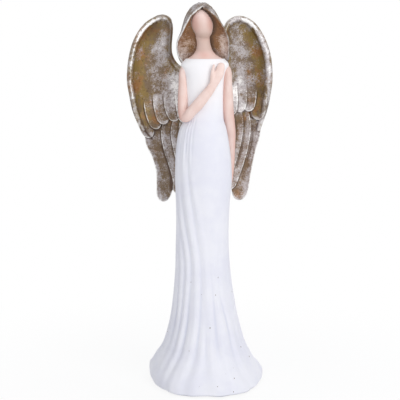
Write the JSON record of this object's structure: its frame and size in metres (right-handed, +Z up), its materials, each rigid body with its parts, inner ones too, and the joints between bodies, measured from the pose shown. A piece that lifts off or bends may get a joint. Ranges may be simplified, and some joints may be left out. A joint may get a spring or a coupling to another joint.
{
  "type": "resin angel figurine",
  "caption": "Slender faceless angel in a long pleated gown, one hand on the heart, with antique leafed wings and hair, on a flared hem.",
  "frame": {"origin": "middle of the felt pad's underside, on the surface that the figurine stands on", "axes": "+Z up through the figure, the figure faces -Y, and +X is towards the figure's own left"},
  "size_m": [0.1132, 0.0768, 0.2997],
  "materials": {
    "gown_resin": "matte",
    "skin_resin": "satin",
    "antique_leaf": "satin",
    "steel": "satin",
    "felt": "matte"
  },
  "bodies": {
    "root": {"gown": "gown_resin", "head": "skin_resin", "hair": "antique_leaf", "right_arm": "skin_resin", "left_arm": "skin_resin", "right_wing": "antique_leaf", "left_wing": "antique_leaf", "neck_pin": "steel", "arm_pins": "steel", "wing_pins": "steel", "felt_pad": "felt"}
  },
  "joints": []
}
